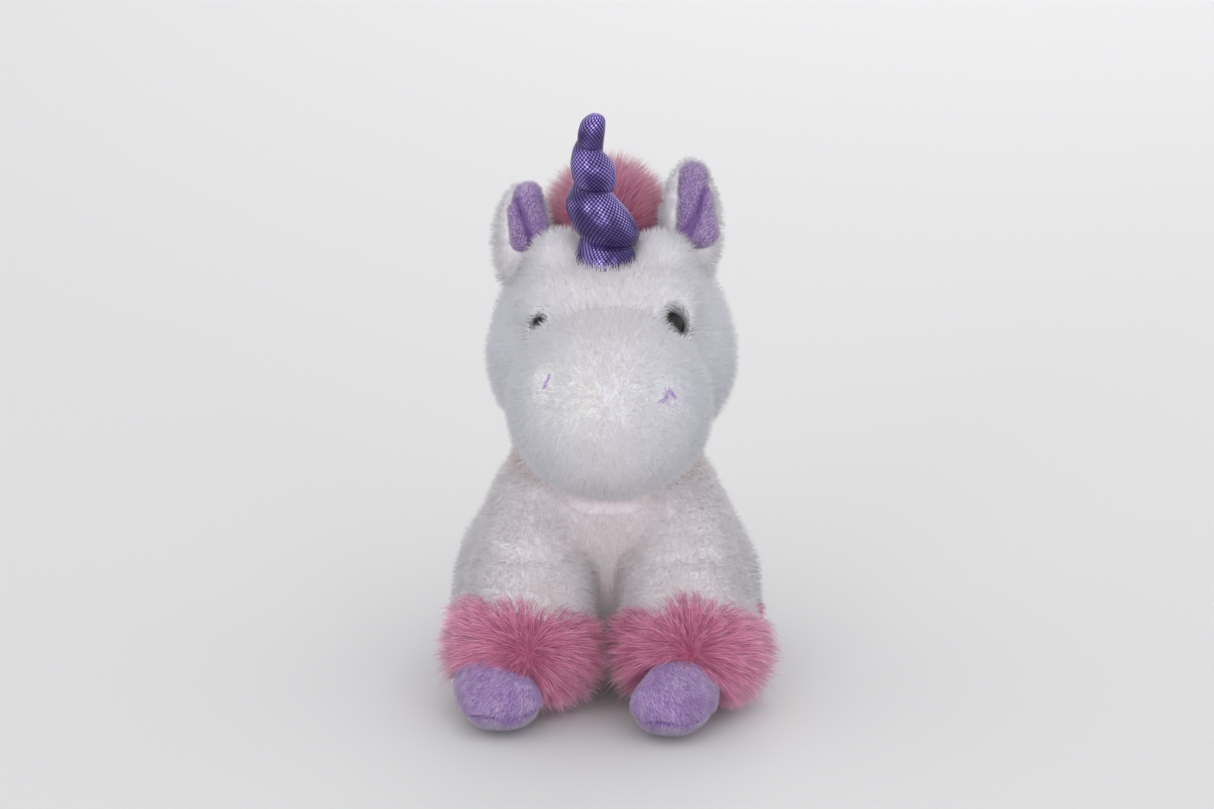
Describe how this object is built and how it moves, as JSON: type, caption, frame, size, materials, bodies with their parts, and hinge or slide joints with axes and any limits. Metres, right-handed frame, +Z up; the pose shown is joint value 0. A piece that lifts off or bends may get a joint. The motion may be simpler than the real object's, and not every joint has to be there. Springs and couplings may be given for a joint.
{
  "type": "plush unicorn",
  "caption": "Seated plush unicorn with a wound foil horn, long-pile mane, cuffs and tail, and velvety hooves; soft neck, ears, legs and tail flop.",
  "frame": {"origin": "centre of the flat seat, on the floor", "axes": "+Z up, the toy faces -Y, +X is the toy's own left"},
  "size_m": [0.144, 0.262, 0.2622],
  "materials": {
    "white_plush": "short soft pile",
    "pink_long_pile": "long fluffy pile",
    "lilac_plush": "very short velvety pile",
    "lilac_sole_plush": "very short velvety pile",
    "foil_cloth": "metallic foil print with fine dark dots",
    "polyester_fill": "loose fibre",
    "lining_cloth": "plain weave",
    "plastic_pellets": "granules",
    "eye_plastic": "polished",
    "washer_plastic": "moulded",
    "dark_thread": "twisted thread",
    "lilac_thread": "embroidery thread"
  },
  "bodies": {
    "torso": {"torso_cover": "white_plush", "torso_filling": "polyester_fill", "bean_bag_cover": "lining_cloth", "bean_bag_pellets": "plastic_pellets", "mane_nape": "pink_long_pile"},
    "neck": {"neck_cover": "white_plush", "neck_filling": "polyester_fill"},
    "head": {"head_cover": "white_plush", "head_filling": "polyester_fill", "muzzle_cover": "white_plush", "eye_left": "eye_plastic", "eye_right": "eye_plastic", "eye_washers": "washer_plastic", "nostril_left": "lilac_thread", "nostril_right": "lilac_thread", "horn_cover": "foil_cloth", "horn_filling": "polyester_fill", "horn_thread": "dark_thread", "mane_crest": "pink_long_pile"},
    "ear_left": {"ear_left_back": "white_plush", "ear_left_lining": "lilac_plush"},
    "ear_right": {"ear_right_back": "white_plush", "ear_right_lining": "lilac_plush"},
    "front_left_leg": {"front_left_leg_cover": "white_plush", "front_left_leg_filling": "polyester_fill", "front_left_leg_cuff": "pink_long_pile", "front_left_leg_hoof": "lilac_plush", "front_left_leg_sole": "lilac_sole_plush"},
    "front_right_leg": {"front_right_leg_cover": "white_plush", "front_right_leg_filling": "polyester_fill", "front_right_leg_cuff": "pink_long_pile", "front_right_leg_hoof": "lilac_plush", "front_right_leg_sole": "lilac_sole_plush"},
    "hind_left_leg": {"hind_left_leg_cover": "white_plush", "hind_left_leg_filling": "polyester_fill", "hind_left_leg_cuff": "pink_long_pile", "hind_left_leg_hoof": "lilac_plush", "hind_left_leg_sole": "lilac_sole_plush"},
    "hind_right_leg": {"hind_right_leg_cover": "white_plush", "hind_right_leg_filling": "polyester_fill", "hind_right_leg_cuff": "pink_long_pile", "hind_right_leg_hoof": "lilac_plush", "hind_right_leg_sole": "lilac_sole_plush"},
    "tail": {"tail_core": "polyester_fill", "tail_hair": "pink_long_pile"}
  },
  "joints": [
    {"name": "head_turn", "type": "hinge", "parent": "torso", "child": "neck", "pos_m": [0, -0.03, 0.094], "axis": [0, 0, 1], "range_deg": [-20, 20], "stiffness_Nm_per_rad": 0.8},
    {"name": "head_nod", "type": "hinge", "parent": "neck", "child": "head", "pos_m": [0, -0.03, 0.09], "axis": [1, 0, 0], "range_deg": [-10, 10], "stiffness_Nm_per_rad": 2},
    {"name": "ear_left_fold", "type": "hinge", "parent": "head", "child": "ear_left", "pos_m": [0.0405, -0.034, 0.186], "axis": [0.7071, 0, -0.7071], "range_deg": [-15, 20], "stiffness_Nm_per_rad": 0.02},
    {"name": "ear_right_fold", "type": "hinge", "parent": "head", "child": "ear_right", "pos_m": [-0.0405, -0.034, 0.186], "axis": [0.7071, 0, 0.7071], "range_deg": [-15, 20], "stiffness_Nm_per_rad": 0.02},
    {"name": "front_left_leg_raise", "type": "hinge", "parent": "torso", "child": "front_left_leg", "pos_m": [0.029, -0.048, 0.064], "axis": [-1, 0, 0], "range_deg": [-5, 20], "stiffness_Nm_per_rad": 0.25},
    {"name": "front_right_leg_raise", "type": "hinge", "parent": "torso", "child": "front_right_leg", "pos_m": [-0.029, -0.048, 0.064], "axis": [-1, 0, 0], "range_deg": [-5, 20], "stiffness_Nm_per_rad": 0.25},
    {"name": "hind_left_leg_spread", "type": "hinge", "parent": "torso", "child": "hind_left_leg", "pos_m": [0.046, 0.002, 0.03], "axis": [0, 0, 1], "range_deg": [0, 20], "stiffness_Nm_per_rad": 0.15},
    {"name": "hind_right_leg_spread", "type": "hinge", "parent": "torso", "child": "hind_right_leg", "pos_m": [-0.046, 0.002, 0.03], "axis": [0, 0, -1], "range_deg": [0, 20], "stiffness_Nm_per_rad": 0.15},
    {"name": "tail_swing", "type": "hinge", "parent": "torso", "child": "tail", "pos_m": [0, 0.054, 0.038], "axis": [0, 0, 1], "range_deg": [-25, 25], "stiffness_Nm_per_rad": 0.03}
  ]
}
